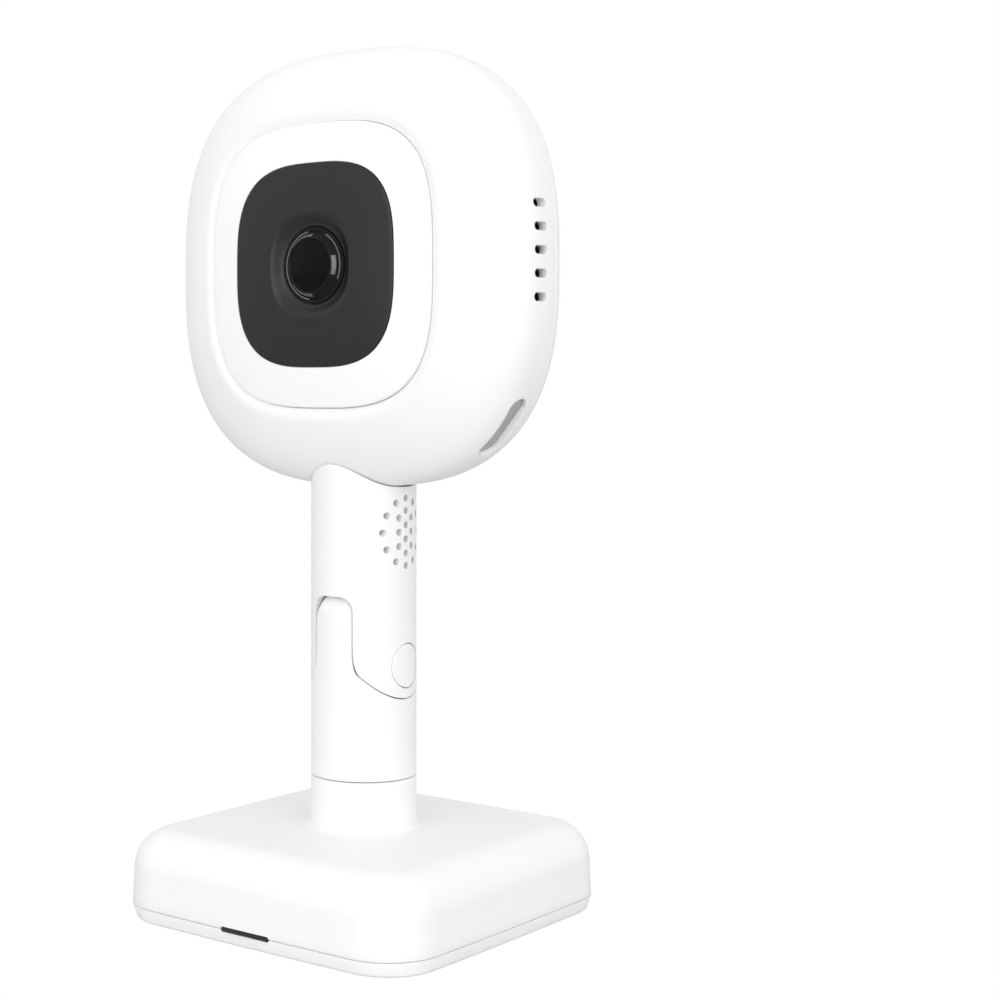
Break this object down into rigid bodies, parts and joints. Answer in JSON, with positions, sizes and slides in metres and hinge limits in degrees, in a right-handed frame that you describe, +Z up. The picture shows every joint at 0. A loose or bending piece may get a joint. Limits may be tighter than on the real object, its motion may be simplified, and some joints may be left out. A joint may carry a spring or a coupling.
{
  "type": "baby monitor camera",
  "caption": "Table-top baby monitor camera: pebble-shaped head with dark lens window, tilting and turning round stem, weighted square base.",
  "frame": {"origin": "centre of the base's underside, on the surface it stands on", "axes": "+Z up, the lens looks along -Y, the side button and the sound holes face +X"},
  "size_m": [0.1074, 0.0892, 0.2124],
  "materials": {
    "white_plastic": "fine satin moulded ABS/PC",
    "faceplate_plastic": "smooth satin moulded PC",
    "grille_plastic": "grey moulded grille",
    "dark_window": "infrared-clear smoked acrylic, soft gloss",
    "smoked_light": "smoked light pipe",
    "black_plastic": "black glass-filled nylon",
    "lens_glass": "coated optical glass",
    "rubber": "grey silicone",
    "steel": "zinc-plated steel",
    "brass": "turned brass",
    "aluminium": "as extruded",
    "circuit_board": "green solder mask",
    "chip": "moulded epoxy",
    "paper_cone": "coated paper and foam surround",
    "sound_mesh": "woven acoustic mesh"
  },
  "bodies": {
    "base": {"base_housing": "white_plastic", "bottom_plate": "white_plastic", "rubber_feet": "rubber", "base_screws": "steel", "ballast_plate": "steel", "status_light_bar": "smoked_light", "status_led": "circuit_board", "power_board": "circuit_board", "power_board_screws": "steel", "power_socket": "steel", "power_socket_tongue": "black_plastic", "pan_thrust_washer": "black_plastic"},
    "stem": {"lower_stem": "white_plastic", "pan_spindle": "black_plastic", "pan_spindle_screws": "steel", "pan_friction_washer": "black_plastic", "pan_spring_washer": "steel", "pan_retaining_ring": "steel"},
    "head": {"upper_stem": "white_plastic", "tilt_friction_washers": "black_plastic", "tilt_axle": "steel", "tilt_axle_insert": "brass", "tilt_axle_cap": "white_plastic", "button_board": "circuit_board", "button_switch": "chip", "speaker_frame": "black_plastic", "speaker_cone": "paper_cone", "speaker_magnet": "steel", "speaker_mesh": "sound_mesh", "head_front_housing": "white_plastic", "head_rear_cover": "white_plastic", "head_screws": "steel", "faceplate": "faceplate_plastic", "lens_window": "dark_window", "lens_ring": "black_plastic", "lens_glass": "lens_glass", "lens_barrel": "black_plastic", "lens_holder": "black_plastic", "image_sensor": "chip", "sensor_board": "circuit_board", "infrared_board": "circuit_board", "infrared_lamps": "smoked_light", "light_sensor": "chip", "main_board": "circuit_board", "processor": "chip", "radio_shield": "steel", "heat_sink": "aluminium", "microphone": "chip", "wifi_antenna": "circuit_board", "neck_clip": "steel", "neck_screws": "steel", "corner_grille": "grille_plastic", "air_sensor": "chip"},
    "button": {"side_button": "white_plastic"}
  },
  "joints": [
    {"name": "pan", "type": "hinge", "parent": "base", "child": "stem", "pos_m": [0, 0, 0.0344], "axis": [0, 0, 1], "range_deg": [-170, 170]},
    {"name": "tilt", "type": "hinge", "parent": "stem", "child": "head", "pos_m": [0, 0, 0.0669], "axis": [1, 0, 0], "range_deg": [-30, 45]},
    {"name": "button_press", "type": "slide", "parent": "head", "child": "button", "axis": [-1, 0, 0], "range_m": [0, 0.0005], "stiffness_N_per_m": 300}
  ]
}
